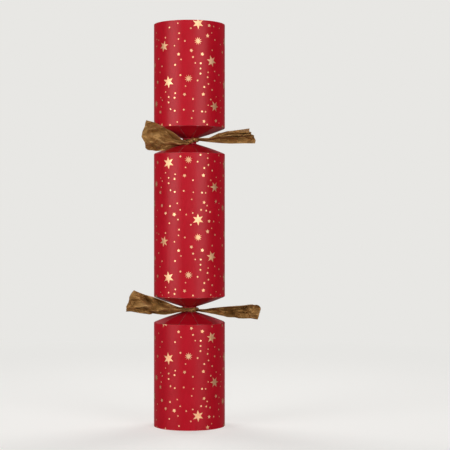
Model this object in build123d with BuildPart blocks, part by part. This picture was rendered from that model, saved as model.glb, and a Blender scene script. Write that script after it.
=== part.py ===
from build123d import *
from math import atan2, cos, hypot, pi, radians, sin, tan
import os

os.makedirs("parts", exist_ok=True)

# Driving dimensions, in millimetres. The cracker stands on its bottom end,
# its axis is Z, and the knots face -Y.
overall_length = 305.0
tube_diameter = 54.0
barrel_length = 108.0
choke_gap = 20.0
card_thickness = 0.5
petal_count = 12
slit_width = 0.45
neck_length = 4.0
lap_width = 16.0
lap_angle = 78.0

# The snap runs down the axis, and the gathered necks grip its edges.
snap_length = 285.0
snap_overlap = 34.0
snap_width = 8.7
snap_card = 0.6
patch_thickness = 0.12
patch_length = 14.0
band_length = 24.0
band_paper = 0.25

# Ribbon: a crinkled strip, wound once round the neck, knotted in front.
ribbon_height = 3.4
ribbon_bulk = 2.0
ribbon_sheet = 0.6
knot_width = 9.0
knot_height = 4.6
pleat_width = 2.6
pleat_depth = 0.9

# Ribbon tails: how far each reaches past the side of the tube, the height of
# its cut end over the neck, half the width of that end and the cut's slant.
top_left_past = 8.0
top_left_rise = 3.0
top_left_half = 11.2
top_left_slant = 1.5
top_right_past = 21.0
top_right_rise = 3.2
top_right_half = 6.4
top_right_slant = 2.0
bottom_left_past = 18.0
bottom_left_rise = 8.0
bottom_left_half = 8.2
bottom_left_slant = 0.0
bottom_right_past = 26.0
bottom_right_rise = -2.7
bottom_right_half = 5.0
bottom_right_slant = -1.0

# Contents of the barrel.
hat_core = 2.2
hat_turns = 5
hat_sheet = 0.9
hat_length = 62.0
hat_points = 4
hat_point_depth = 9.0
hat_offset = 12.4
hat_band_height = 14.0
hat_band_paper = 0.3
slip_core = 1.2
slip_turns = 3
slip_sheet = 0.4
joke_length = 58.0
conversation_length = 50.0
slip_x = 8.0
slip_y = 14.0
star_radius = 20.0
star_inner = 9.6
star_thickness = 3.0
star_hole = 3.0
star_corner = 0.8
star_y = 6.0

# Clearances.
crease_gap = 0.05
tear_gap = 0.08
grip_gap = 0.3
patch_gap = 0.06
band_gap = 0.15
ribbon_gap = 0.1
roll_gap = 0.25
seat_gap = 0.08

# Stations along the axis, from the floor up.
radius = tube_diameter / 2
inner_radius = radius - card_thickness
end_length = (overall_length - barrel_length - 2 * choke_gap) / 2
bottom_rim = end_length
barrel_bottom = bottom_rim + choke_gap
barrel_top = barrel_bottom + barrel_length
top_rim = barrel_top + choke_gap
middle = overall_length / 2
bottom_neck = bottom_rim + choke_gap / 2
top_neck = barrel_top + choke_gap / 2

# The neck is as wide as the snap needs, and the petals run from rim to neck.
snap_half_gap = patch_thickness + patch_gap / 2
snap_outside = snap_half_gap + snap_card
neck_inner = hypot(snap_width / 2, snap_outside) + grip_gap
neck_radius = neck_inner + card_thickness
petal_drop = radius - neck_radius
petal_rise = (choke_gap - neck_length) / 2
fold = atan2(petal_drop, petal_rise)
mitre = card_thickness * tan(fold / 2)
petal_half = pi / petal_count
slit_trim = slit_width / (2 * cos(petal_half))
strip_half = neck_radius * tan(petal_half) - slit_trim


def seat_height(reach):
    """Height of the lower petals' upper face at a distance from the axis."""
    return barrel_bottom + mitre - (inner_radius - reach) * petal_rise / petal_drop


def tube_wall(low, high):
    """A rolled wall whose free edges are given as (outer, inner) heights."""
    with BuildPart() as wall:
        with BuildSketch(Plane.XZ):
            with BuildLine():
                Polyline(
                    (radius, low[0]),
                    (radius, high[0]),
                    (inner_radius, high[1]),
                    (inner_radius, low[1]),
                    close=True,
                )
            make_face()
        revolve(axis=Axis.Z)
        # The glued lap: the outer layer ends at a step on the back of the tube.
        span = lap_width / radius
        start = radians(lap_angle)
        half = start + span / 2
        end = start + span
        step = radius + card_thickness
        ramp = radius + card_thickness / 2
        with BuildSketch(Plane.XY.offset(low[0])):
            with BuildLine():
                Line(
                    (radius * cos(start), radius * sin(start)),
                    (step * cos(start), step * sin(start)),
                )
                ThreePointArc(
                    (step * cos(start), step * sin(start)),
                    (ramp * cos(half), ramp * sin(half)),
                    (radius * cos(end), radius * sin(end)),
                )
                ThreePointArc(
                    (radius * cos(end), radius * sin(end)),
                    (radius * cos(half), radius * sin(half)),
                    (radius * cos(start), radius * sin(start)),
                )
            make_face()
        extrude(amount=high[0] - low[0])
    return wall


def petal_plate(rim, way, start):
    """Outline of a flat front petal, from its curved crease to the narrow tip.

    way is +1 where the petal rises from its rim and -1 where it hangs from it.
    start is the gap left along the petal at the crease.
    """
    base_x = radius * sin(petal_half) - slit_trim
    base_y = (radius - radius * cos(petal_half)) / sin(fold) + start
    tip_y = petal_drop / sin(fold)
    face = Plane((0, -radius, rim), x_dir=(1, 0, 0), z_dir=(0, -cos(fold), way * sin(fold)))
    with BuildSketch(face) as plate:
        with BuildLine():
            ThreePointArc((-base_x, way * base_y), (0, way * start), (base_x, way * base_y))
            Polyline(
                (base_x, way * base_y),
                (strip_half, way * tip_y),
                (-strip_half, way * tip_y),
                (-base_x, way * base_y),
            )
        make_face()
    return plate.sketch


def barrel_petal(rim, way):
    """One petal of a barrel mouth, mitred where it meets the wall and the neck."""
    with BuildPart() as petal:
        add(petal_plate(rim, way, crease_gap))
        extrude(amount=hypot(card_thickness, mitre), dir=(0, card_thickness, -way * mitre))
    return petal


def end_petals(rim, barrel_rim, way):
    """The petals of an end with their neck strips; way points from barrel to end."""
    strip_top = rim - way * petal_rise
    strip_low = barrel_rim + way * (petal_rise + tear_gap)
    with BuildPart() as petal:
        add(petal_plate(rim, -way, crease_gap))
        extrude(amount=hypot(card_thickness, mitre), dir=(0, card_thickness, way * mitre))
        with BuildSketch(Plane.YZ):
            with BuildLine():
                Polyline(
                    (-neck_radius, strip_top),
                    (-neck_radius, strip_low),
                    (-neck_inner, strip_low - way * mitre),
                    (-neck_inner, strip_top + way * mitre),
                    close=True,
                )
            make_face()
        extrude(amount=strip_half, both=True)
    with BuildPart() as ring:
        with PolarLocations(0, petal_count):
            add(petal.part)
    return ring


# Bottom end: the rolled handle and its petals.
bottom_end_tube = tube_wall((0.0, 0.0), (bottom_rim, bottom_rim - mitre))
bottom_end_tube.part.label = "bottom_end_tube"
export_step(bottom_end_tube.part, "parts/bottom_end_tube.step")

bottom_end_petals = end_petals(bottom_rim, barrel_bottom, -1)
bottom_end_petals.part.label = "bottom_end_petals"
export_step(bottom_end_petals.part, "parts/bottom_end_petals.step")

# Top end: the same, the other way up.
top_end_tube = tube_wall((top_rim, top_rim + mitre), (overall_length, overall_length))
top_end_tube.part.label = "top_end_tube"
export_step(top_end_tube.part, "parts/top_end_tube.step")

top_end_petals = end_petals(top_rim, barrel_top, 1)
top_end_petals.part.label = "top_end_petals"
export_step(top_end_petals.part, "parts/top_end_petals.step")

# Barrel: the middle tube, with both edges mitred for the folded petals.
barrel_card = tube_wall(
    (barrel_bottom, barrel_bottom + mitre), (barrel_top, barrel_top - mitre)
)
barrel_card.part.label = "barrel_card"
export_step(barrel_card.part, "parts/barrel_card.step")

# Barrel petals: each one folds on its own crease, so each is its own piece.
# They are numbered from the front, round by the right.
for mouth, rim, way in (("top", barrel_top, 1), ("bottom", barrel_bottom, -1)):
    petal = barrel_petal(rim, way)
    for number in range(petal_count):
        node = f"barrel_petal_{mouth}_{number + 1:02d}"
        with BuildPart() as turned:
            with Locations(Rotation(0, 0, 360 * number / petal_count)):
                add(petal.part)
        turned.part.label = node
        export_step(turned.part, f"parts/{node}.step")


# The winding clears the corners of the neck, and the knot sits in front of it.
winding_inside = hypot(neck_radius, strip_half) + ribbon_gap
knot_y = -(winding_inside + ribbon_bulk + knot_height / 4)


def ribbon_tail(neck, way, past, rise, half_end, slant, lean, flare):
    """A pleated strip cut to a flared outline, from inside the knot outwards."""
    reach = radius + past
    root = Vector(way * knot_width / 4, knot_y, neck)
    end = Vector(way * reach, knot_y - lean * reach, neck + rise)
    along = (end - root).normalized()
    length = (end - root).length
    pleats = 2 * int(half_end / pleat_width + 2)
    front = []
    for index in range(pleats + 1):
        across = (index - pleats / 2) * pleat_width
        front.append((across, pleat_depth * (index % 2 - 0.5) + ribbon_sheet / 2))
    back = [(across, deep - ribbon_sheet) for across, deep in front]
    half_root = ribbon_height * 0.42
    half_mid = half_root + (half_end - half_root) * 0.35**flare
    with BuildPart() as tail:
        with BuildSketch(Plane(root, x_dir=(0, 0, 1), z_dir=along)):
            with BuildLine():
                Polyline(*front, *reversed(back), close=True)
            make_face()
        extrude(amount=length + abs(slant))
        with BuildSketch(Plane(root, x_dir=along, z_dir=along.cross(Vector(0, 0, way)))):
            with BuildLine():
                Polyline(
                    (0, half_root),
                    (0.35 * length, half_mid),
                    (length + slant, half_end),
                    (length - slant, -half_end),
                    (0.35 * length, -half_mid),
                    (0, -half_root),
                    close=True,
                )
            make_face()
        extrude(amount=pleat_depth + ribbon_sheet, both=True, mode=Mode.INTERSECT)
    return tail


def ribbon(neck, left, right):
    """Neck winding, knot and the two tails, as one tied strip."""
    with BuildPart() as tied:
        with BuildSketch(Plane.XZ):
            with BuildLine():
                Polyline(
                    (winding_inside, neck - ribbon_height / 2),
                    (winding_inside + ribbon_bulk * 0.6, neck - ribbon_height / 2),
                    (winding_inside + ribbon_bulk, neck - ribbon_height / 4),
                    (winding_inside + ribbon_bulk, neck + ribbon_height / 4),
                    (winding_inside + ribbon_bulk * 0.6, neck + ribbon_height / 2),
                    (winding_inside, neck + ribbon_height / 2),
                    close=True,
                )
            make_face()
        revolve(axis=Axis.Z)
        with BuildSketch(Plane.XZ.offset(-knot_y)):
            with BuildLine():
                Polyline(
                    (-knot_width / 2, neck),
                    (knot_width / 2, neck),
                    (knot_width / 2, neck + knot_height / 5),
                    (knot_width / 4, neck + knot_height / 2),
                    (-knot_width / 4, neck + knot_height / 2),
                    (-knot_width / 2, neck + knot_height / 5),
                    close=True,
                )
            make_face()
        revolve(axis=Axis((0, knot_y, neck), (1, 0, 0)))
        add(left.part)
        add(right.part)
    return tied


# Ribbons, tied round the two necks; each tail leans forward to clear the rims.
top_left_tail = ribbon_tail(
    top_neck, -1, top_left_past, top_left_rise, top_left_half, top_left_slant, 0.36, 0.9
)
top_right_tail = ribbon_tail(
    top_neck, 1, top_right_past, top_right_rise, top_right_half, top_right_slant, 0.18, 1.2
)
top_ribbon = ribbon(top_neck, top_left_tail, top_right_tail)
top_ribbon.part.label = "top_ribbon"
export_step(top_ribbon.part, "parts/top_ribbon.step")

bottom_left_tail = ribbon_tail(
    bottom_neck, -1, bottom_left_past, bottom_left_rise, bottom_left_half,
    bottom_left_slant, 0.35, 0.6,
)
bottom_right_tail = ribbon_tail(
    bottom_neck, 1, bottom_right_past, bottom_right_rise, bottom_right_half,
    bottom_right_slant, 0.18, 0.8,
)
bottom_ribbon = ribbon(bottom_neck, bottom_left_tail, bottom_right_tail)
bottom_ribbon.part.label = "bottom_ribbon"
export_step(bottom_ribbon.part, "parts/bottom_ribbon.step")

# Snap: two strips that overlap at mid-barrel, behind and in front of the axis.
snap_end = (overall_length - snap_length) / 2
overlap_low = middle - snap_overlap / 2
overlap_high = middle + snap_overlap / 2
upper_strip = overall_length - snap_end - overlap_low
lower_strip = overlap_high - snap_end

with BuildPart(Plane.XY.offset(overlap_low)) as snap_strip_top:
    with Locations((0, snap_half_gap, 0)):
        Box(snap_width, snap_card, upper_strip, align=(Align.CENTER, Align.MIN, Align.MIN))
snap_strip_top.part.label = "snap_strip_top"
export_step(snap_strip_top.part, "parts/snap_strip_top.step")

with BuildPart(Plane.XY.offset(snap_end)) as snap_strip_bottom:
    with Locations((0, -snap_half_gap, 0)):
        Box(snap_width, snap_card, lower_strip, align=(Align.CENTER, Align.MAX, Align.MIN))
snap_strip_bottom.part.label = "snap_strip_bottom"
export_step(snap_strip_bottom.part, "parts/snap_strip_bottom.step")

# Abrasive on the upper strip and charge on the lower one, face to face.
with BuildPart(Plane.XY.offset(middle)) as snap_abrasive:
    with Locations((0, snap_half_gap, 0)):
        Box(
            snap_width - 2,
            patch_thickness,
            patch_length,
            align=(Align.CENTER, Align.MAX, Align.CENTER),
        )
snap_abrasive.part.label = "snap_abrasive"
export_step(snap_abrasive.part, "parts/snap_abrasive.step")

with BuildPart(Plane.XY.offset(middle)) as snap_charge:
    with Locations((0, -snap_half_gap, 0)):
        Box(
            snap_width - 2,
            patch_thickness,
            patch_length,
            align=(Align.CENTER, Align.MIN, Align.CENTER),
        )
snap_charge.part.label = "snap_charge"
export_step(snap_charge.part, "parts/snap_charge.step")

# Paper band round the overlap, so that the strips stay together.
band_x = snap_width + 2 * band_gap
band_y = 2 * (snap_outside + band_gap)
with BuildPart() as snap_band:
    with BuildSketch(Plane.XY.offset(middle - band_length / 2)):
        Rectangle(band_x + 2 * band_paper, band_y + 2 * band_paper)
        Rectangle(band_x, band_y, mode=Mode.SUBTRACT)
    extrude(amount=band_length)
snap_band.part.label = "snap_band"
export_step(snap_band.part, "parts/snap_band.step")


def roll_radius(core, turns, sheet):
    """Outside radius of a rolled sheet's last half turn."""
    return core + (turns - 0.5) * (sheet + roll_gap) + sheet / 2


def rolled_sheet(core, turns, sheet, length, spot, base, points=0):
    """A sheet rolled up as half turns that step outwards about two centres."""
    pitch = sheet + roll_gap
    outside = roll_radius(core, turns, sheet)
    with BuildPart() as roll:
        with BuildSketch(Plane.XY.offset(base)):
            with BuildLine():
                for index in range(2 * turns):
                    odd = index % 2
                    centre = (spot[0] + odd * pitch / 2, spot[1])
                    turn_radius = core + index * pitch / 2
                    CenterArc(centre, turn_radius + sheet / 2, 180 * odd, 180)
                    CenterArc(centre, turn_radius - sheet / 2, 180 * odd, 180)
                for edge in (core, core + turns * pitch):
                    Line(
                        (spot[0] + edge - sheet / 2, spot[1]),
                        (spot[0] + edge + sheet / 2, spot[1]),
                    )
            make_face()
        extrude(amount=length)
        # Notches across the upper edge leave the points of a crown.
        for notch in range(points // 2):
            turn = 2 * pi * notch / points
            across = Plane(
                (spot[0] + pitch / 4, spot[1], base + length),
                x_dir=(cos(turn), sin(turn), 0),
                z_dir=(sin(turn), -cos(turn), 0),
            )
            with BuildSketch(across):
                with BuildLine():
                    Polyline(
                        (-outside * 0.62, 0),
                        (0, -hat_point_depth),
                        (outside * 0.62, 0),
                        close=True,
                    )
                make_face()
            extrude(amount=2 * outside, both=True, mode=Mode.SUBTRACT)
    return roll


# Paper hat, rolled up on the lower petals, with its crown points at the top.
hat_radius = roll_radius(hat_core, hat_turns, hat_sheet)
hat_pitch = hat_sheet + roll_gap
hat_base = seat_height(hat_offset + hat_radius - hat_pitch / 2) + seat_gap
paper_hat = rolled_sheet(
    hat_core, hat_turns, hat_sheet, hat_length, (0.0, hat_offset), hat_base, hat_points
)
paper_hat.part.label = "paper_hat"
export_step(paper_hat.part, "parts/paper_hat.step")

# Paper band that keeps the hat rolled.
with BuildPart() as hat_band:
    with BuildSketch(Plane.XY.offset(hat_base + (hat_length - hat_band_height) / 2)):
        with Locations((hat_pitch / 2, hat_offset)):
            Circle(hat_radius + ribbon_gap + hat_band_paper)
            Circle(hat_radius + ribbon_gap, mode=Mode.SUBTRACT)
    extrude(amount=hat_band_height)
hat_band.part.label = "hat_band"
export_step(hat_band.part, "parts/hat_band.step")

# The two paper slips, rolled, in front of the snap.
slip_radius = roll_radius(slip_core, slip_turns, slip_sheet)
slip_base = seat_height(hypot(slip_x, slip_y) + slip_radius) + seat_gap
joke_slip = rolled_sheet(
    slip_core, slip_turns, slip_sheet, joke_length, (-slip_x, -slip_y), slip_base
)
joke_slip.part.label = "joke_slip"
export_step(joke_slip.part, "parts/joke_slip.step")

conversation_slip = rolled_sheet(
    slip_core, slip_turns, slip_sheet, conversation_length, (slip_x, -slip_y), slip_base
)
conversation_slip.part.label = "conversation_slip"
export_step(conversation_slip.part, "parts/conversation_slip.step")

# Wooden decoration: a flat star on its two lower points, with a hanging hole.
star_turn = pi / 5
star_half = atan2(star_inner * sin(star_turn), star_radius - star_inner * cos(star_turn))
star_tip = star_radius - star_corner / sin(star_half) + star_corner
star_foot = star_tip * sin(radians(54))
star_reach = hypot(star_tip * cos(radians(54)), star_y + star_thickness / 2)
star_centre = seat_height(star_reach) + star_foot + seat_gap
star_points = []
for index in range(10):
    length = star_radius if index % 2 == 0 else star_inner
    turn = pi / 2 + index * star_turn
    star_points.append((length * cos(turn), length * sin(turn)))
with BuildPart() as wooden_star:
    with BuildSketch(Plane.XZ.offset(star_y - star_thickness / 2)) as star_face:
        with Locations((0, star_centre)):
            Polygon(*star_points, align=None)
            fillet(star_face.vertices(), star_corner)
        with Locations((0, star_centre + star_radius * 0.55)):
            Circle(star_hole / 2, mode=Mode.SUBTRACT)
    extrude(amount=star_thickness)
wooden_star.part.label = "wooden_star"
export_step(wooden_star.part, "parts/wooden_star.step")
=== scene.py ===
import random
from math import atan2, cos, hypot, pi, radians, sin, tan, tanh

import bmesh
import bpy
from mathutils import Matrix, Vector, noise


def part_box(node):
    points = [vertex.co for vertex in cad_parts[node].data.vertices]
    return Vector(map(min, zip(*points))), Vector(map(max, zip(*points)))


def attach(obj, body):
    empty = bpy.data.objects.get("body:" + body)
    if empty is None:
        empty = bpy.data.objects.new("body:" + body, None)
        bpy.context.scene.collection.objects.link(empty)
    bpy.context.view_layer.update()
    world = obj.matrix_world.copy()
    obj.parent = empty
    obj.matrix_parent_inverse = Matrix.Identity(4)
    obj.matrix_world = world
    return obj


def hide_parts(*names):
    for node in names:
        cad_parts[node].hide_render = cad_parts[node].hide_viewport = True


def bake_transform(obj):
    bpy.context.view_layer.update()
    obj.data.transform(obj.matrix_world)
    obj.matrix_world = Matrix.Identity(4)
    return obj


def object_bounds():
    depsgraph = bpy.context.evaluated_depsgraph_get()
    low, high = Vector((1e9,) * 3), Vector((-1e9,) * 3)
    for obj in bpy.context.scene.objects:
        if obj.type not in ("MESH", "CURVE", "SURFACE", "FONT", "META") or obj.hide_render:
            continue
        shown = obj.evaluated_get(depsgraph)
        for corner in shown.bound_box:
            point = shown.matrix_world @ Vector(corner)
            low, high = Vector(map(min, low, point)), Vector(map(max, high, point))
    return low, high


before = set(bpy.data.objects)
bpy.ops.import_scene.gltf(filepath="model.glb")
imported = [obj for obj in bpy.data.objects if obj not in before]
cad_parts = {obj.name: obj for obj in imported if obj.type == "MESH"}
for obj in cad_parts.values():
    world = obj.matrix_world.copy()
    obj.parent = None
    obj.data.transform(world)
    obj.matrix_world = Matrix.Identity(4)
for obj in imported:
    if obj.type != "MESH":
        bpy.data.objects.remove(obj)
cad_low, cad_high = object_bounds()
mm = 0.001


# Red card. The whole wrap is one printed card: a satin red face, a white board
# back and a pale core that shows wherever the card is cut.
class Shade:
    """A shader socket that sums like a number; node() adds any other node."""

    def __init__(self, tree, socket=None):
        self.tree = tree
        self.socket = socket

    def feed(self, target, sockets):
        for name, value in sockets.items():
            if isinstance(value, Shade):
                self.tree.links.new(value.socket, target.inputs[name])
            else:
                target.inputs[name].default_value = value

    def node(self, kind, settings, sockets, out=0):
        made = self.tree.nodes.new("ShaderNode" + kind)
        for name, value in settings.items():
            if name == "stops":
                for spare in value[2:]:
                    made.color_ramp.elements.new(spare[0])
                for element, (place, colour) in zip(made.color_ramp.elements, value):
                    element.position = place
                    element.color = colour
            else:
                setattr(made, name, value)
        self.feed(made, sockets)
        return Shade(self.tree, made.outputs[out])

    def sum(self, operation, first, second=0.0):
        return self.node("Math", {"operation": operation}, {0: first, 1: second})

    def __add__(self, other):
        return self.sum("ADD", self, other)

    def __radd__(self, other):
        return self.sum("ADD", other, self)

    def __sub__(self, other):
        return self.sum("SUBTRACT", self, other)

    def __rsub__(self, other):
        return self.sum("SUBTRACT", other, self)

    def __mul__(self, other):
        return self.sum("MULTIPLY", self, other)

    def __rmul__(self, other):
        return self.sum("MULTIPLY", other, self)

    def __pow__(self, other):
        return self.sum("POWER", self, other)

    def __abs__(self):
        return self.sum("ABSOLUTE", self)


def ink(red, green, blue):
    """A colour as a printer's 0 to 255 values, made linear."""
    parts = [value / 255 for value in (red, green, blue)]
    return [p / 12.92 if p <= 0.04045 else ((p + 0.055) / 1.055) ** 2.4 for p in parts] + [1.0]


def new_finish(name):
    """A material with its surface shader, and a Shade to add nodes with."""
    material = bpy.data.materials.new(name)
    material.use_nodes = True
    return material, material.node_tree.nodes["Principled BSDF"], Shade(material.node_tree)


def grain(shade, place, scale, detail=3.0, rough=0.55):
    """Cloudy noise with so many features to the metre."""
    return shade.node(
        "TexNoise", {}, {"Vector": place, "Scale": scale, "Detail": detail, "Roughness": rough}
    )


def mix(shade, factor, first, second):
    """A blend of two colours."""
    return shade.node("Mix", {"data_type": "RGBA"}, {0: factor, 6: first, 7: second}, out=2)


def fade(shade, value, start, end):
    """0 before start, 1 after end, smooth between."""
    return shade.node(
        "MapRange",
        {"interpolation_type": "SMOOTHSTEP"},
        {"Value": value, "From Min": start, "From Max": end},
    )


def relief(shade, height, depth, strength=1.0):
    """A normal from a height between 0 and 1, for a real depth in metres."""
    return shade.node(
        "Bump", {}, {"Height": height, "Distance": depth, "Strength": strength}
    )


bottom_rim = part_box("bottom_end_tube")[1][2]
barrel_low, barrel_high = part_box("barrel_card")[0][2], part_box("barrel_card")[1][2]
top_rim, top_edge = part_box("top_end_tube")[0][2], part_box("top_end_tube")[1][2]

card_print, surface, shade = new_finish("red_card_print")
place = shade.node("TexCoord", {}, {}, out=3)
height = shade.node("SeparateXYZ", {}, {0: place}, out=2)
fibre = grain(shade, place, 2400.0, 4.0)
cloud = grain(shade, place, 70.0, 3.0)
scuff_break = grain(shade, place, 900.0, 2.0)
near = abs(height - bottom_rim)
for rim in (barrel_low, barrel_high, top_rim):
    near = shade.sum("MINIMUM", near, abs(height - rim))
for edge in (0.0, top_edge):
    near = shade.sum("MINIMUM", near, abs(height - edge))
scuff = (1 - fade(shade, near, 0.05 * mm, 0.35 * mm)) * fade(shade, scuff_break, 0.42, 0.62)
red = mix(shade, fade(shade, cloud, 0.3, 0.7), ink(180, 8, 30), ink(186, 12, 34))
red = mix(shade, fibre * 0.12, red, ink(150, 4, 20))
red = mix(shade, scuff * 0.16, red, ink(214, 120, 112))
shade.feed(surface, {
    "Base Color": red,
    "Roughness": 0.32 + 0.08 * cloud + 0.06 * fibre,
    "Normal": relief(shade, 0.35 * fibre + cloud, 0.02 * mm, 0.5),
    "Specular IOR Level": 0.16,
})

card_back, surface, shade = new_finish("white_board_back")
place = shade.node("TexCoord", {}, {}, out=3)
fibre = grain(shade, place, 1500.0, 4.0)
fleck = grain(shade, place, 1000.0, 2.0)
board = mix(shade, fibre * 0.3, ink(236, 231, 222), ink(206, 198, 186))
board = mix(shade, fade(shade, fleck, 0.7, 0.78) * 0.4, board, ink(168, 152, 132))
shade.feed(surface, {
    "Base Color": board,
    "Roughness": 0.82 + 0.1 * fibre,
    "Normal": relief(shade, fibre, 0.03 * mm, 0.6),
})

card_core, surface, shade = new_finish("card_cut_edge")
place = shade.node("TexCoord", {}, {}, out=3)
fibre = grain(shade, place, 3200.0, 3.0)
stain = grain(shade, place, 500.0, 2.0)
core = mix(shade, fibre, ink(190, 118, 112), ink(164, 70, 70))
core = mix(shade, fade(shade, stain, 0.4, 0.65) * 0.8, core, ink(168, 40, 50))
shade.feed(surface, {
    "Base Color": core,
    "Roughness": 0.85,
    "Normal": relief(shade, fibre, 0.04 * mm, 0.8),
})


# Gold foil. Stars, bursts and trails of dots are hot-stamped on the flat card
# before it is rolled, so the pattern goes round the tubes and is cut at their
# rims and at the lap. The strips that become the petals are left plain.
gold_foil, surface, shade = new_finish("stamped_gold_foil")
place = shade.node("TexCoord", {}, {}, out=3)
grit = grain(shade, place, 1800.0, 3.0)
haze = grain(shade, place, 160.0, 2.0)
gold = mix(shade, fade(shade, haze, 0.35, 0.7), ink(238, 190, 148), ink(224, 168, 124))
shade.feed(surface, {
    "Base Color": mix(shade, fade(shade, grit, 0.62, 0.72) * 0.5, gold, ink(190, 110, 80)),
    "Metallic": 0.95,
    "Roughness": 0.44 + 0.14 * grit,
    "Normal": relief(shade, grit, 0.012 * mm, 0.5),
})

# Sizes of the rolled card, of its folded petals and of the foil on it.
radius = 27.0 * mm
card = 0.5 * mm
lap_start = radians(78.0)
lap_width = 16.0 * mm
lap_turn = lap_width / radius
petals = 12
neck_radius = 5.214 * mm
petal_rise = 8.0 * mm
petal_drop = radius - neck_radius
petal_length = hypot(petal_drop, petal_rise)
fold = atan2(petal_drop, petal_rise)
mitre = card * tan(fold / 2)
neck_strip = 3.92 * mm
foil_lift = 0.03 * mm
foil_margin = 0.3 * mm
around = 2 * pi * radius
front = radius * (2 * pi - pi / 2 - lap_start)

# Heights along the flat print. The bottom edge of the card cuts a little of it
# off, and each choke hides a stretch of it.
hidden_print = 45.2 * mm
flat_bottom_edge = 5.2 * mm
flat_bottom_rim = flat_bottom_edge + bottom_rim
flat_barrel_low = flat_bottom_rim + hidden_print
flat_barrel_high = flat_barrel_low + barrel_high - barrel_low
flat_top_rim = flat_barrel_high + hidden_print
flat_top_edge = flat_top_rim + top_edge - top_rim

# One repeat of the print: half the way round, and as tall as this. A large motif
# is its place across and along the card and its size, in millimetres, and its
# turn. A shape is a number of points and the core's share of the size.
repeat = 85.5 * mm
repeat_low = 149.0 * mm
large_shape = (6, 0.43)
burst_shape = (10, 0.4)
small_shape = (5, 0.55)
small_stars = 19
small_sizes = (1.25, 1.6)
small_gap = 3.2 * mm
trails = 14
trail_sway = 2.0 * mm
trail_wave = 9.0 * mm
dot_share = 0.45
dot_sizes = (0.5, 0.57, 0.63, 0.7)
dot_stray = 1.1
dot_steps = (3.4, 5.4)
dot_gap = 1.7 * mm
large_stars = [
    (-16.0, 229.4, 4.7, 0.1), (21.5, 211.4, 4.3, 0.5), (7.2, 187.1, 4.4, 0.05),
    (18.5, 159.5, 4.4, 0.3), (-20.4, 170.8, 4.2, 0.8), (37.0, 229.0, 4.3, 0.4),
    (-37.5, 199.0, 4.6, 0.2), (38.0, 176.0, 4.2, 0.9),
]
bursts = [
    (0.1, 231.5, 3.0, 0.0), (7.2, 173.9, 3.0, 0.2), (-31.0, 214.0, 2.9, 0.1),
    (33.0, 196.0, 3.0, 0.3), (-35.0, 158.0, 2.9, 0.2),
]


def scattered_print():
    """All motifs on the flat card, as (across, along, size, points, depth, turn)."""
    draw = random.Random(91)
    tile = []
    for shape, group in ((large_shape, large_stars), (burst_shape, bursts)):
        tile += [(x * mm, y * mm, size * mm, *shape, turn) for x, y, size, turn in group]
    half = around / 4

    def clear(x, y, size, gap):
        for other in tile:
            across = abs(x - other[0])
            across = min(across, 2 * half - across)
            along = abs(y - other[1])
            along = min(along, repeat - along)
            if hypot(across, along) < size + other[2] * 0.9 + gap:
                return False
        return True

    for attempt in range(400):
        if len(tile) == len(large_stars) + len(bursts) + small_stars:
            break
        x = draw.uniform(-half, half)
        y = repeat_low + draw.uniform(0, repeat)
        size = draw.uniform(*small_sizes) * mm
        if clear(x, y, size, small_gap):
            tile.append((x, y, size, *small_shape, draw.uniform(0, pi)))
    for trail in range(trails):
        start = -half + (trail + 0.5) * 2 * half / trails
        sway = draw.uniform(0, 2 * pi)
        y = repeat_low + draw.uniform(0, 4.0) * mm
        while y < repeat_low + repeat:
            x = start + trail_sway * sin(sway + y / trail_wave) + draw.gauss(0, dot_stray) * mm
            size = draw.choice(dot_sizes) * mm
            if draw.random() < dot_share and clear(x, y, size, dot_gap):
                tile.append((x, y, size, 0, 1.0, draw.uniform(0, pi)))
            y += draw.uniform(*dot_steps) * mm
    motifs = []
    for column in (-2, -1, 0, 1, 2):
        for row in range(-3, 4):
            for x, y, size, points, depth, turn in tile:
                spot = (front + x + column * 2 * half, y + row * repeat)
                inside = (
                    -size < spot[0] < around + size
                    and flat_bottom_edge - size < spot[1] < flat_top_edge + size
                )
                if inside:
                    motifs.append((*spot, size, points, depth, turn))
    return motifs


print_motifs = scattered_print()


def stamp(flat, x, y, size, points, depth, turn):
    """One motif on the flat card: a dot if it has no points, else a star."""
    spot = Matrix.Translation((x, y, 0)) @ Matrix.Rotation(turn, 4, "Z")
    made = bmesh.ops.create_circle(
        flat,
        cap_ends=True,
        cap_tris=points > 0,
        segments=2 * points if points else 10,
        radius=size,
        matrix=spot,
    )
    if points:
        centre = Vector((x, y, 0))
        back = spot.inverted()
        for vert in made["verts"]:
            local = back @ vert.co
            step = round(atan2(-local.x, local.y) / (pi / points))
            if local.length > size / 2 and step % 2:
                vert.co = centre + (vert.co - centre) * depth
        if size > 2.0 * mm:
            edges = list({edge for vert in made["verts"] for edge in vert.link_edges})
            bmesh.ops.subdivide_edges(flat, edges=edges, cuts=2, use_grid_fill=True)


def join(bm, part):
    """Adds a finished part to a larger mesh."""
    held = bpy.data.meshes.new("part")
    part.to_mesh(held)
    part.free()
    bm.from_mesh(held)
    bpy.data.meshes.remove(held)


def add_foil(bm, left, right, low, high, spot):
    """Stamps the motifs of one area of card, trims them and lays them on it."""
    flat = bmesh.new()
    for motif in print_motifs:
        reach = motif[2]
        if left - reach < motif[0] < right + reach and low - reach < motif[1] < high + reach:
            stamp(flat, *motif)
    edges = [((left, 0), (-1, 0)), ((right, 0), (1, 0)), ((0, low), (0, -1)), ((0, high), (0, 1))]
    for point, outward in edges:
        bmesh.ops.bisect_plane(
            flat,
            geom=flat.verts[:] + flat.edges[:] + flat.faces[:],
            dist=1e-8,
            plane_co=(*point, 0),
            plane_no=(*outward, 0),
            clear_outer=True,
        )
    for vert in flat.verts:
        vert.co = spot(vert.co.x, vert.co.y)
    for face in flat.faces:
        face.material_index = 3
    join(bm, flat)


# Tubes. The card is rolled once and glued along a lap at the back, where the
# outer layer ends in a step. The rims are mitred so that the petals fold in.
wall_steps = 120
lap_step = 0.004


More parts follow.
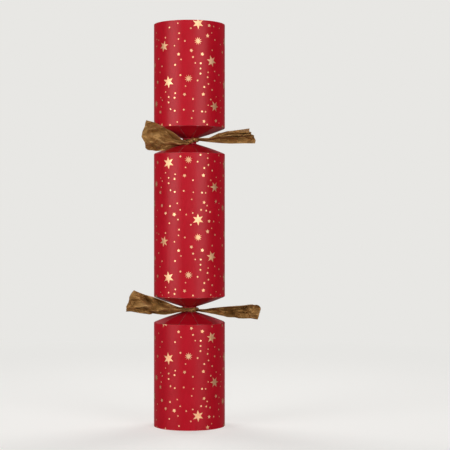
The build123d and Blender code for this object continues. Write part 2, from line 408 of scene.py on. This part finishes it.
def wall_radius(turn):
    """Outside radius at so far round from the free edge of the lap."""
    if turn < lap_turn:
        return radius + card * (1 - turn / lap_turn)
    return radius


def add_wall(bm, low, high, back_low, back_high):
    """A rolled tube; the heights are those of its face and of its back."""
    section = [(radius, low), (radius, high), (radius - card, back_high), (radius - card, back_low)]
    ring = [bm.verts.new((r * cos(lap_start), r * sin(lap_start), z)) for r, z in section]
    sides = [bm.edges.new((ring[i], ring[i - 1])) for i in range(4)]
    bmesh.ops.subdivide_edges(bm, edges=[sides[1], sides[3]], cuts=6)
    bmesh.ops.spin(
        bm,
        geom=bm.verts[:] + bm.edges[:],
        cent=(0, 0, 0),
        axis=(0, 0, 1),
        angle=2 * pi,
        steps=wall_steps,
        use_merge=True,
    )
    bmesh.ops.recalc_face_normals(bm, faces=bm.faces[:])
    for vert in bm.verts:
        if hypot(vert.co.x, vert.co.y) > radius - card / 2:
            step = round((atan2(vert.co.y, vert.co.x) - lap_start) / (2 * pi) * wall_steps)
            turn = (step % wall_steps) * 2 * pi / wall_steps
            out = wall_radius(turn)
            if step % wall_steps == wall_steps - 1:
                turn = 2 * pi - lap_step
            vert.co.x = out * cos(lap_start + turn)
            vert.co.y = out * sin(lap_start + turn)
    bm.normal_update()
    for face in bm.faces:
        middle = face.calc_center_median()
        facing = face.normal.dot(Vector((middle.x, middle.y, 0)).normalized())
        face.material_index = 0 if facing > 0.5 else 1 if facing < -0.5 else 2


def add_wall_foil(bm, flat_low, flat_high, low):
    """The print on a tube, rolled with the card."""

    def spot(x, y):
        turn = x / radius
        out = wall_radius(turn) + foil_lift
        return Vector(
            (out * cos(lap_start + turn), out * sin(lap_start + turn), low + y - flat_low)
        )

    add_foil(bm, foil_margin, around - foil_margin, flat_low, flat_high, spot)


# Petals. Slits divide each mouth into twelve tapering petals, which fold in at
# the scored rim and meet at the neck. They bow a little, as bent card does.
petal_half = pi / petals
slit_half = 0.12 * mm
base_half = radius * sin(petal_half) - slit_half
tip_half = neck_radius * tan(petal_half) - slit_half
petal_bow = 0.45 * mm
crease_gap = 0.05 * mm
raw_edge = 0.045 * mm


def petal_spot(rim, way, number, across, along):
    """A place on a petal; way is +1 where it rises from its rim."""
    share = min(along / petal_length, 1.0)
    lift = petal_bow * sin(pi * share) * (1 - share / 2)
    inward = min(along, petal_length)
    out = radius - inward * sin(fold) + lift * cos(fold)
    up = rim + way * (inward * cos(fold) + lift * sin(fold) + max(along - petal_length, 0))
    turn = 2 * pi * number / petals - pi / 2
    return Vector(
        (out * cos(turn) - across * sin(turn), out * sin(turn) + across * cos(turn), up)
    )


def crease_curve(across):
    """How far along a petal its curved crease starts."""
    return (radius - (radius**2 - across**2) ** 0.5) / sin(fold)


def add_petal(bm, rim, way, number, strip):
    """A petal of card; with a strip it runs on through the neck."""
    rows, strip_rows = 18, 3
    bend = rows - strip_rows if strip else rows
    grid = bmesh.new()
    bmesh.ops.create_grid(grid, x_segments=8, y_segments=rows, size=1.0)
    for vert in grid.verts:
        row = round((vert.co.y + 1) / 2 * rows)
        share = min(row / bend, 1.0) ** 1.25
        across = vert.co.x * (base_half + (tip_half - base_half) * share)
        start = crease_gap + crease_curve(across)
        along = start + (petal_length - start) * share
        if row > bend:
            along += strip * (row - bend) / strip_rows
        vert.co = petal_spot(rim, way, number, across, along)
    outer = grid.faces[:]
    made = bmesh.ops.extrude_face_region(grid, geom=outer)["geom"]
    turn = 2 * pi * number / petals - pi / 2
    back = Vector((-card * cos(turn), -card * sin(turn), -way * mitre))
    bmesh.ops.translate(
        grid, verts=[item for item in made if isinstance(item, bmesh.types.BMVert)], vec=back
    )
    inner = [item for item in made if isinstance(item, bmesh.types.BMFace)]
    for face in grid.faces:
        face.material_index = 2
    for face in outer:
        face.material_index = 0
    for face in inner:
        face.material_index = 1
    bmesh.ops.recalc_face_normals(grid, faces=grid.faces[:])
    cut = [
        edge
        for edge in grid.edges
        if {face.material_index for face in edge.link_faces} == {0, 2}
        and abs((edge.verts[0].co - edge.verts[1].co).normalized().z) > 0.25
    ]
    made = bmesh.ops.bevel(
        grid, geom=cut, offset=raw_edge, affect="EDGES", segments=1, profile=0.5, material=-1
    )
    for face in made["faces"]:
        face.material_index = 2
    join(bm, grid)


# Bottom end. The handle that the cracker stands on: a tube of the card, open
# below, with petals that run on as narrow strips through the neck.
sharp_card = radians(32)


def card_piece(name, bm, nodes):
    """Turns a finished card mesh into a piece that stands for its CAD nodes."""
    for face in bm.faces:
        face.smooth = True
    for edge in bm.edges:
        if len(edge.link_faces) == 2:
            edge.smooth = edge.calc_face_angle() < sharp_card
    mesh = bpy.data.meshes.new(name)
    bm.to_mesh(mesh)
    bm.free()
    for finish in (card_print, card_back, card_core, gold_foil):
        mesh.materials.append(finish)
    piece = bpy.data.objects.new(name, mesh)
    bpy.context.scene.collection.objects.link(piece)
    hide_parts(*nodes)
    return piece


bm = bmesh.new()
add_wall(bm, 0.0, bottom_rim, 0.0, bottom_rim - mitre)
add_wall_foil(bm, flat_bottom_edge, flat_bottom_rim, 0.0)
for number in range(petals):
    add_petal(bm, bottom_rim, 1, number, neck_strip)
bottom_wrap = card_piece("bottom_end_wrap", bm, ["bottom_end_tube", "bottom_end_petals"])
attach(bottom_wrap, "bottom_end")

# Barrel. The middle tube, which holds the gifts. Its petals tear from the ends
# and fold out when the cracker is pulled, so each is made as a piece of its own.
bm = bmesh.new()
add_wall(bm, barrel_low, barrel_high, barrel_low + mitre, barrel_high - mitre)
add_wall_foil(bm, flat_barrel_low, flat_barrel_high, barrel_low)
barrel_wrap = card_piece("barrel_wrap", bm, ["barrel_card"])
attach(barrel_wrap, "barrel")
for mouth, rim, way in (("top", barrel_high, 1), ("bottom", barrel_low, -1)):
    for number in range(petals):
        bm = bmesh.new()
        add_petal(bm, rim, way, number, 0.0)
        label = f"{mouth}_{number + 1:02d}"
        petal = card_piece(f"petal_{label}", bm, [f"barrel_petal_{label}"])
        petal_spot(rim, way, number, 0, 0)
        petal_spot(rim, way, number, 0, 3.0 * mm)
        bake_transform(petal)

# Top end. The other handle, made like the bottom one and turned over: open
# above, with petals that hang down and run on through the upper neck.
bm = bmesh.new()
add_wall(bm, top_rim, top_edge, top_rim + mitre, top_edge)
add_wall_foil(bm, flat_top_rim, flat_top_edge, top_rim)
for number in range(petals):
    add_petal(bm, top_rim, -1, number, neck_strip)
top_wrap = card_piece("top_end_wrap", bm, ["top_end_tube", "top_end_petals"])
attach(top_wrap, "top_end")


# Ribbons. A strip of crinkled gold paper is wound once round each neck and is
# knotted in front. It is gathered at the knot, and its two tails open out.
ribbon_paper, surface, shade = new_finish("crinkled_gold_paper")
strip = shade.node("UVMap", {"uv_map": "strip"}, {})
place = shade.node("TexCoord", {}, {}, out=3)
wave_band = 0.314
creases = 0.0
lines = 0.0
for turn, gap, weight in ((1.4, 14.0, 1.0), (2.0, 9.0, 0.7), (0.7, 11.0, 0.7), (2.7, 7.0, 0.5)):
    lie = shade.node("Mapping", {}, {"Vector": strip, "Rotation": (0, 0, turn)})
    crease = shade.node("TexWave", {"wave_profile": "TRI", "bands_direction": "X"}, {
        "Vector": lie,
        "Scale": wave_band / (gap * mm),
        "Distortion": 1.6,
        "Detail": 1.0,
        "Detail Scale": 0.6,
    }, out=1)
    creases = creases + crease * (weight * gap / 8)
    # lines marks the bottoms of the creases, where shade is painted into the colour below.
    lines = shade.sum("MAXIMUM", lines, 1 - fade(shade, crease, 0.0, 0.06))
blotch = grain(shade, strip, 130.0, 3.0)
streak = grain(
    shade, shade.node("Mapping", {}, {"Vector": strip, "Scale": (70.0, 360.0, 1.0)}), 1.0, 4.0
)
pit = grain(shade, place, 1500.0, 4.0)
# Noise that breaks the painted crease shade into patches.
crease_shade_gate = grain(shade, strip, 170.0, 2.0)
tone = mix(shade, fade(shade, blotch, 0.3, 0.7), ink(150, 108, 58), ink(166, 125, 74))
tone = mix(shade, fade(shade, streak, 0.5, 0.75) * 0.15, tone, ink(108, 70, 30))
# Painted highlight: where the crease height is greatest, the paper's colour is lightened to a pale
# gold.
tone = mix(shade, fade(shade, creases, 2.3, 3.2) * 0.4, tone, ink(204, 164, 110))
# Painted shade: thin dark lines along the crease valleys, where the folds would lie in shadow.
tone = mix(shade, lines * fade(shade, crease_shade_gate, 0.46, 0.6) * 0.4, tone, ink(70, 40, 14))
shade.feed(surface, {
    "Base Color": tone,
    "Metallic": 0.35,
    "Specular IOR Level": 0.2,
    "Roughness": 0.4 + 0.2 * blotch + 0.08 * pit,
    "Normal": relief(shade, creases + 0.04 * pit, 0.4 * mm, 0.8),
})

strip_width = 22.0 * mm
ribbon_thick = 0.12 * mm
winding_radius = 6.4 * mm
knot_front = -8.6 * mm
sharp_crease = radians(11)
tightest_fold = 1.56


def pleat_section(height, pleats, curl, phase, points):
    """The strip's width gathered to a height, as (up, out) places across it.

    The folds turn the paper to and fro, and curl rolls it as a whole, so its
    width along the paper stays the same. Past the tightest fold it is pressed.
    """
    waves = []
    for index in range(points):
        share = (index + 0.5) / points
        skew = 0.3 * sin(2 * pi * share + phase) + 0.14 * sin(4 * pi * share + 2 * phase)
        waves.append(tanh(2.2 * sin(2 * pi * (pleats * share + skew) + phase)))

    def lay(fold_turn):
        up, out, spots = 0.0, 0.0, [(0.0, 0.0)]
        for index, wave in enumerate(waves):
            lean = fold_turn * wave + curl * ((index + 0.5) / points - 0.5)
            up += cos(lean) * strip_width / points
            out += sin(lean) * strip_width / points
            spots.append((up, out))
        ups, outs = [s[0] for s in spots], [s[1] for s in spots]
        middle = ((max(ups) + min(ups)) / 2, sum(outs) / len(outs))
        return max(ups) - min(ups), [(a - middle[0], b - middle[1]) for a, b in spots]

    loose, tight = 0.0, tightest_fold
    for halving in range(16):
        guess = (loose + tight) / 2
        if lay(guess)[0] > height:
            loose = guess
        else:
            tight = guess
    reach, spots = lay(tight)
    press = min(1.0, height / reach)
    return [(up * press, out) for up, out in spots]


def crumple(folds, along, across):
    """The height of crushed paper: flat facets between straight creases."""
    patch_long, patch_wide, wander = 16 * mm, 11 * mm, 0.45
    height = 0.0
    for turn, gap, shift, slope in folds:
        far = along * sin(turn) + across * cos(turn)
        spot = Vector((along / patch_long, across / patch_wide, shift * 9))
        far += wander * gap * noise.noise(spot)
        ridge = abs(((far / gap + shift) % 1.0) * 2 - 1) - 0.5
        strength = max(0.0, 0.6 + 1.1 * noise.noise(spot * 1.6))
        height += ridge * gap / 2 * slope * strength
    return height


def along_table(table, share):
    """A value that goes straight from each (share, value) pair to the next."""
    for (start, first), (end, last) in zip(table, table[1:]):
        if share <= end:
            return first + (last - first) * (share - start) / (end - start)
    return table[-1][1]


def add_tail(bm, neck, side, root, reach, lean, middles, halves, pleats, curl, twist, cut, seed):
    """One tail from the knot outwards; middles and halves are heights along it."""
    columns, rows, crease_count = 88, 110, 6
    start = Vector((side * root * mm, knot_front, neck))
    end = Vector((side * reach * mm, knot_front - lean * reach * mm, neck))
    length = (end - start).length
    along = (end - start).normalized()
    draw = random.Random(seed)
    folds = [
        (draw.gauss(0, 0.55), draw.uniform(6.0, 15.0) * mm, draw.random(), draw.uniform(0.5, 1.0))
        for crease in range(crease_count)
    ]
    part = bmesh.new()
    layer = part.loops.layers.uv.new("strip")
    bmesh.ops.create_grid(part, x_segments=rows, y_segments=columns, size=1.0, calc_uvs=True)
    sections, frames = [], []
    for row in range(rows + 1):
        share = row / rows
        ease = share * share * (3 - 2 * share)
        half = along_table(halves, share) * mm
        sections.append(pleat_section(2 * half, pleats, curl * ease, seed, columns))
        middle = start.lerp(end, share)
        middle.z += along_table(middles, share) * mm
        up = Matrix.Rotation(twist * ease, 3, along) @ Vector((0, 0, 1))
        frames.append((middle, up, up.cross(along) * side, min(1.0, 0.55 + 1.6 * share)))
    for vert in part.verts:
        row = round((vert.co.x + 1) / 2 * rows)
        column = round((vert.co.y + 1) / 2 * columns)
        share = row / rows
        high, deep = sections[row][column]
        middle, up, out, slack = frames[row]
        trim = cut * high / (strip_width / 2) * mm - high * high / length
        point = middle + up * high + out * deep * slack + along * trim * share**3
        ripple = crumple(folds, share * length, column / columns * strip_width)
        vert.co = point + out * ripple * min(1.0, 0.1 + 1.6 * share)
    for face in part.faces:
        for loop in face.loops:
            u, v = loop[layer].uv
            loop[layer].uv = (u * length, v * strip_width + seed)
    join(bm, part)
    return length


def add_wrap(bm, height, pleats, centre, axis, mid_radius, depth, steps, phase, tilt):
    """A closed turn of the gathered strip round an axis."""
    part = bmesh.new()
    layer = part.loops.layers.uv.new("strip")
    spots = pleat_section(height, pleats, 0.0, phase, 12 * pleats)
    deepest = max(abs(deep) for high, deep in spots)
    row = [part.verts.new((mid_radius + deep / deepest * depth, 0, high)) for high, deep in spots]
    edges = [part.edges.new(pair) for pair in zip(row, row[1:])]
    bmesh.ops.spin(
        part,
        geom=row + edges,
        cent=(0, 0, 0),
        axis=(0, 0, 1),
        angle=2 * pi,
        steps=steps,
        use_merge=True,
    )
    for face in part.faces:
        middle = face.calc_center_median()
        for loop in face.loops:
            angle = atan2(loop.vert.co.y, loop.vert.co.x)
            if middle.y < 0 and angle > pi / 2:
                angle -= 2 * pi
            loop[layer].uv = (angle * mid_radius, loop.vert.co.z * 5 + phase)
    bmesh.ops.recalc_face_normals(part, faces=part.faces[:])
    for vert in part.verts:
        spread = noise.noise(vert.co / (2.2 * mm) + Vector((phase, 0, 0)))
        vert.co.z *= 1 + 0.2 * spread
        vert.co += vert.normal * spread * depth * 0.3
    lie = Vector((0, 0, 1)).rotation_difference(axis).to_matrix().to_4x4()
    part.transform(Matrix.Translation(centre) @ Matrix.Rotation(tilt, 4, "Y") @ lie)
    join(bm, part)
    return 2 * pi * mid_radius


def tied_ribbon(name, node, body, neck, slant, knots, left, right):
    """Winding, knot and tails as one strip of paper."""
    bm = bmesh.new()
    bm.loops.layers.uv.new("strip")
    length = add_tail(bm, neck, -1, **left) + add_tail(bm, neck, 1, **right)
    middle = Vector((0, 0, neck))
    length += add_wrap(
        bm, height=2.6 * mm, pleats=5, centre=middle, axis=Vector((0, 0, 1)),
        mid_radius=winding_radius, depth=0.8 * mm, steps=96, phase=left["seed"], tilt=slant,
    )
    for number, (across, up, size, width, tilt) in enumerate(knots):
        length += add_wrap(
            bm, height=width * mm, pleats=11,
            centre=middle + Vector((across * mm, knot_front, up * mm)), axis=Vector((1, 0, 0)),
            mid_radius=size * mm, depth=0.36 * mm, steps=36, phase=right["seed"] + number, tilt=tilt,
        )
    for face in bm.faces:
        face.smooth = True
    for edge in bm.edges:
        if len(edge.link_faces) == 2:
            edge.smooth = edge.calc_face_angle() < sharp_crease
    mesh = bpy.data.meshes.new(name)
    bm.to_mesh(mesh)
    bm.free()
    mesh.materials.append(ribbon_paper)
    ribbon = bpy.data.objects.new(name, mesh)
    bpy.context.scene.collection.objects.link(ribbon)
    thick = ribbon.modifiers.new("paper", "SOLIDIFY")
    thick.thickness = ribbon_thick
    thick.offset = 0.0
    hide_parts(node)
    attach(ribbon, body)


bottom_neck = (bottom_rim + barrel_low) / 2
top_neck = (barrel_high + top_rim) / 2
tied_ribbon(
    "top_ribbon_strip", "top_ribbon", "top_end", top_neck, radians(-8),
    knots=((-2.0, -1.7, 0.95, 3.4, 0.5), (0.9, -0.5, 1.35, 3.4, -0.35), (4.6, 0.6, 1.1, 4.4, 0.2)),
    left=dict(
        root=1.5, reach=34.5, lean=0.36, pleats=2.5, curl=0.4, twist=0.0, cut=0.4, seed=3,
        middles=((0, -2.4), (0.16, -1.75), (0.32, -0.6), (0.49, 0.25), (0.69, 2.1), (1, 3.6)),
        halves=((0, 0.8), (0.16, 2.25), (0.32, 5.1), (0.49, 8.0), (0.69, 10.3), (1, 10.9)),
    ),
    right=dict(
        root=6.0, reach=48.0, lean=0.18, pleats=1.6, curl=-1.5, twist=0.1, cut=-3.0, seed=8,
        middles=((0, 0.8), (0.04, 0.9), (0.22, 0.3), (0.4, 1.6), (0.56, 2.0), (1, 2.9)),
        halves=((0, 0.9), (0.04, 0.95), (0.22, 1.4), (0.4, 3.6), (0.56, 4.6), (1, 5.7)),
    ),
)
tied_ribbon(
    "bottom_ribbon_strip", "bottom_ribbon", "bottom_end", bottom_neck, radians(2),
    knots=((0.2, 0.0, 0.95, 3.0, 0.3), (3.2, 0.0, 1.3, 3.4, -0.25)),
    left=dict(
        root=1.5, reach=45.0, lean=0.35, pleats=2.2, curl=0.5, twist=-0.1, cut=-4.5, seed=6,
        middles=((0, -0.1), (0.16, 0.4), (0.38, 1.9), (0.6, 3.8), (0.75, 5.0), (1, 7.8)),
        halves=((0, 0.9), (0.16, 2.2), (0.38, 5.0), (0.6, 6.6), (0.75, 7.0), (1, 7.8)),
    ),
    right=dict(
        root=4.6, reach=53.0, lean=0.18, pleats=1.4, curl=-2.6, twist=0.0, cut=0.4, seed=36,
        middles=((0, 0), (0.03, 0), (0.16, -0.5), (0.39, -0.7), (0.61, -0.8), (1, -0.6)),
        halves=((0, 1.1), (0.03, 1.15), (0.16, 1.6), (0.39, 3.45), (0.61, 4.5), (1, 5.6)),
    ),
)


# Snap. Two strips of grey board overlap at mid-barrel, held by a paper band.
# One carries the dark charge and the other the rough patch that fires it.
def paper_finish(name, light, dark, speck, roughness, depth, scale):
    """A plain paper or board with fibres and a few specks."""
    material, surface, shade = new_finish(name)
    place = shade.node("TexCoord", {}, {}, out=3)
    fibre = grain(shade, place, scale, 4.0)
    cloud = grain(shade, place, scale / 14, 3.0)
    dots = grain(shade, place, scale / 3, 2.0)
    tone = mix(shade, fade(shade, cloud, 0.3, 0.7) * 0.6 + fibre * 0.4, light, dark)
    tone = mix(shade, fade(shade, dots, 0.66, 0.74) * 0.6, tone, speck)
    shade.feed(surface, {
        "Base Color": tone,
        "Roughness": roughness + 0.12 * fibre,
        "Normal": relief(shade, fibre, depth, 0.7),
    })
    return material


snap_board = paper_finish(
    "grey_snap_board", ink(196, 184, 164), ink(172, 158, 136), ink(120, 104, 84),
    roughness=0.8, depth=0.04 * mm, scale=1200.0,
)
snap_charge = paper_finish(
    "snap_charge", ink(70, 58, 54), ink(44, 38, 38), ink(150, 120, 96),
    roughness=0.7, depth=0.08 * mm, scale=2600.0,
)
snap_grit = paper_finish(
    "snap_rough_patch", ink(112, 100, 92), ink(78, 70, 66), ink(176, 166, 156),
    roughness=0.75, depth=0.1 * mm, scale=3000.0,
)
band_paper = paper_finish(
    "white_band_paper", ink(236, 232, 224), ink(220, 214, 202), ink(196, 188, 172),
    roughness=0.7, depth=0.03 * mm, scale=1600.0,
)
for node, finish in (
    ("snap_strip_top", snap_board),
    ("snap_strip_bottom", snap_board),
    ("snap_charge", snap_charge),
    ("snap_abrasive", snap_grit),
    ("snap_band", band_paper),
):
    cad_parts[node].material_slots[0].material = finish


# Paper hat and slips. The hat is a tissue crown rolled up in a paper band, and
# the joke and the conversation starter are two narrow slips, rolled as well.
roll_thick = 0.1 * mm
crown_depth = 9.0 * mm


def rolled_paper(
    name, node, body, finish, spot, inside, outside, turns, low, high, points, loose
):
    """A sheet rolled up on end, with crown points along its top if it has any."""
    steps = int(turns * 40)
    rows = 14
    bm = bmesh.new()
    layer = bm.loops.layers.uv.new("sheet")
    bmesh.ops.create_grid(bm, x_segments=steps, y_segments=rows, size=1.0, calc_uvs=True)
    length = 2 * pi * turns * (inside + outside) / 2
    for vert in bm.verts:
        share, rise = (vert.co.x + 1) / 2, (vert.co.y + 1) / 2
        turn = 2 * pi * turns * share
        out = inside + (outside - inside) * share
        out += loose * noise.noise((cos(turn) * 1.3, sin(turn) * 1.3, rise * 2 + share * 3))
        top = high
        if points:
            top -= crown_depth * abs(2 * ((share * points) % 1.0) - 1)
        lift = low + (top - low) * rise
        vert.co = (spot[0] + out * cos(turn), spot[1] + out * sin(turn), lift)
    for face in bm.faces:
        face.smooth = True
        for loop in face.loops:
            u, v = loop[layer].uv
            loop[layer].uv = (u * length, v * (high - low))
    mesh = bpy.data.meshes.new(name)
    bm.to_mesh(mesh)
    bm.free()
    mesh.materials.append(finish)
    roll = bpy.data.objects.new(name, mesh)
    bpy.context.scene.collection.objects.link(roll)
    thick = roll.modifiers.new("paper", "SOLIDIFY")
    thick.thickness = roll_thick
    thick.offset = 0.0
    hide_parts(node)
    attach(roll, body)


tissue, surface, shade = new_finish("green_tissue")
sheet = shade.node("UVMap", {"uv_map": "sheet"}, {})
wrinkle = grain(shade, sheet, 260.0, 5.0, 0.62)
fibre = grain(shade, sheet, 2200.0, 3.0)
leaf = mix(shade, fade(shade, wrinkle, 0.3, 0.7), ink(26, 104, 66), ink(44, 132, 86))
leaf = mix(shade, fibre * 0.3, leaf, ink(70, 150, 108))
shade.feed(surface, {
    "Base Color": leaf,
    "Roughness": 0.68 + 0.14 * fibre,
    "Normal": relief(shade, wrinkle + 0.2 * fibre, 0.25 * mm, 0.6),
})
slip_paper, surface, shade = new_finish("white_slip_paper")
sheet = shade.node("UVMap", {"uv_map": "sheet"}, {})
fibre = grain(shade, sheet, 1900.0, 4.0)
cloud = grain(shade, sheet, 120.0, 3.0)
page = mix(shade, fibre * 0.5, ink(240, 237, 229), ink(226, 221, 210))
page = mix(shade, fade(shade, cloud, 0.4, 0.7) * 0.3, page, ink(232, 226, 212))
shade.feed(surface, {
    "Base Color": page,
    "Roughness": 0.6 + 0.15 * fibre,
    "Normal": relief(shade, fibre, 0.02 * mm, 0.6),
})

hat_low, hat_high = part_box("paper_hat")
hat_spot = ((hat_low[0] + hat_high[0]) / 2, (hat_low[1] + hat_high[1]) / 2)
rolled_paper(
    "rolled_hat", "paper_hat", "hat", tissue, hat_spot,
    inside=1.9 * mm, outside=7.35 * mm, turns=7,
    low=hat_low[2], high=hat_high[2], points=20, loose=0.25 * mm,
)
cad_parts["hat_band"].material_slots[0].material = band_paper
for node, body in (("joke_slip", "joke"), ("conversation_slip", "conversation")):
    low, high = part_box(node)
    rolled_paper(
        f"rolled_{body}", node, body, slip_paper,
        ((low[0] + high[0]) / 2, (low[1] + high[1]) / 2),
        inside=0.9 * mm, outside=2.75 * mm, turns=3.5,
        low=low[2], high=high[2], points=0, loose=0.08 * mm,
    )


# Wooden decoration. A star cut by laser from three-ply birch: the cut edge is
# scorched brown, and thin engraved lines run from the middle to every corner.
star_low, star_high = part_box("wooden_star")
plywood, surface, shade = new_finish("birch_ply")
place = shade.node("TexCoord", {}, {}, out=3)
spread = shade.node("Mapping", {}, {"Vector": place, "Scale": (900.0, 900.0, 45.0)})
rings = grain(shade, spread, 1.0, 4.0, 0.6)
pores = grain(shade, place, 1400.0, 3.0)
facing = abs(shade.node(
    "SeparateXYZ", {}, {0: shade.node("TexCoord", {}, {}, out=1)}, out=1
))
scorch = 1 - fade(shade, facing, 0.3, 0.7)
veneer = mix(shade, fade(shade, rings, 0.3, 0.72), ink(222, 190, 146), ink(196, 154, 106))
veneer = mix(shade, fade(shade, pores, 0.6, 0.75) * 0.5, veneer, ink(160, 116, 74))
star_middle = star_low.z + 0.45 * (star_high.z - star_low.z)
aside = shade.node("SeparateXYZ", {}, {0: place}, out=0)
above = shade.node("SeparateXYZ", {}, {0: place}, out=2) - star_middle
off_line = shade.sum("PINGPONG", shade.sum("ARCTAN2", aside, above), pi / 10)
off_line = (aside * aside + above * above) ** 0.5 * shade.sum("SINE", off_line)
groove = 1 - fade(shade, off_line, 0.14 * mm, 0.26 * mm)
wood = mix(shade, shade.sum("MAXIMUM", scorch, groove * 0.85), veneer, ink(72, 42, 24))
shade.feed(surface, {
    "Base Color": wood,
    "Roughness": 0.58 + 0.2 * rings,
    "Normal": relief(shade, rings + 0.4 * pores - 2.0 * groove, 0.06 * mm, 0.6),
})
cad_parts["wooden_star"].material_slots[0].material = plywood


# Studio. A pale round floor that curves up into a wall and is clear from outside.
# Two soft boxes stand beside the camera, a weak one behind it and two high ones at
# the back. Away from the cracker the camera sees the cove's own even glow.
cove_paper, surface, shade = new_finish("pale_cove")
place = shade.node("TexCoord", {}, {}, out=3)
mottle = grain(shade, place, 8.0, 3.0)
seen = 0.0
for ray, weight in (("Is Camera Ray", 1.0), ("Is Glossy Ray", 0.15), ("Is Transmission Ray", 1.0)):
    seen = shade.sum("MAXIMUM", seen, weight * shade.node("LightPath", {}, {}, out=ray))
across = shade.node("SeparateXYZ", {}, {0: place}, out=0)
deep = shade.node("SeparateXYZ", {}, {0: place}, out=1)
shadow_end, glow_start = 0.25, 0.75
far = fade(shade, (across * across + deep * deep) ** 0.5, shadow_end, glow_start)
paper = mix(shade, mottle, ink(114, 113, 111), ink(110, 109, 107))
pale_paper = mix(shade, far, ink(196, 195, 192), ink(0, 0, 0))
glow = mix(shade, far, ink(176, 175, 173), ink(232, 231, 228))
shade.feed(surface, {
    "Base Color": mix(shade, seen, paper, pale_paper),
    "Roughness": 0.8,
    "Specular IOR Level": 0.0,
    "Emission Color": mix(shade, seen, ink(0, 0, 0), glow),
    "Emission Strength": 1.0,
    "Alpha": 1 - shade.node("NewGeometry", {}, {}, out="Backfacing"),
})
cove_floor, cove_curve, cove_top, cove_steps = 2.6, 1.2, 3.2, 16
bm = bmesh.new()
row = [bm.verts.new((0, 0, 0))]
for step in range(cove_steps + 1):
    turn = pi / 2 * step / cove_steps
    row.append(bm.verts.new(
        (cove_floor + cove_curve * sin(turn), 0, cove_curve - cove_curve * cos(turn))
    ))
row.append(bm.verts.new((cove_floor + cove_curve, 0, cove_top)))
edges = [bm.edges.new(pair) for pair in zip(row, row[1:])]
bmesh.ops.spin(
    bm, geom=row + edges, cent=(0, 0, 0), axis=(0, 0, 1), angle=2 * pi, steps=96, use_merge=True
)
bmesh.ops.remove_doubles(bm, verts=bm.verts[:], dist=1e-6)
bmesh.ops.recalc_face_normals(bm, faces=bm.faces[:])
bmesh.ops.reverse_faces(bm, faces=bm.faces[:])
for face in bm.faces:
    face.smooth = True
mesh = bpy.data.meshes.new("cove")
bm.to_mesh(mesh)
bm.free()
mesh.materials.append(cove_paper)
cove = bpy.data.objects.new("cove", mesh)
bpy.context.scene.collection.objects.link(cove)


def soft_box(name, turn, rise, distance, wide, tall, power):
    """A rectangular lamp that faces the middle of the cracker."""
    lamp = bpy.data.lights.new(name, "AREA")
    lamp.shape = "RECTANGLE"
    lamp.size, lamp.size_y = wide, tall
    lamp.spread = radians(90)
    lamp.energy = power
    holder = bpy.data.objects.new(name, lamp)
    aim = Vector((0, 0, (cad_low.z + cad_high.z) / 2))
    away = Vector((sin(turn) * cos(rise), -cos(turn) * cos(rise), sin(rise)))
    holder.location = aim + away * distance
    holder.rotation_euler = away.to_track_quat("Z", "Y").to_euler()
    bpy.context.scene.collection.objects.link(holder)


soft_box(
    "left_soft_box", radians(-50), radians(2),
    distance=1.4, wide=0.95, tall=0.95, power=5.2,
)
soft_box(
    "right_soft_box", radians(38), radians(2),
    distance=1.4, wide=0.85, tall=0.95, power=4.5,
)
soft_box(
    "front_fill", radians(2), radians(3),
    distance=2.0, wide=0.9, tall=0.9, power=1.4,
)
soft_box(
    "left_back_box", radians(-140), radians(48),
    distance=1.6, wide=0.8, tall=0.8, power=2.6,
)
soft_box(
    "right_back_box", radians(140), radians(48),
    distance=1.6, wide=0.8, tall=0.8, power=2.6,
)

world = bpy.data.worlds.new("studio")
world.use_nodes = True
world.node_tree.nodes["Background"].inputs["Color"].default_value = ink(232, 232, 235)
world.node_tree.nodes["Background"].inputs["Strength"].default_value = 0.1
bpy.context.scene.world = world

# Camera. It stands a metre away, level with the middle of the cracker and a
# little to its right, and looks straight ahead.
lens = bpy.data.cameras.new("camera")
lens.sensor_width = 36.0
lens.lens = 104.2
camera = bpy.data.objects.new("camera", lens)
camera.location = (27.1 * mm, -0.993, 152.7 * mm)
camera.rotation_euler = (pi / 2, 0, 0)
bpy.context.scene.collection.objects.link(camera)
bpy.context.scene.camera = camera
bpy.context.scene.view_settings.view_transform = "Standard"
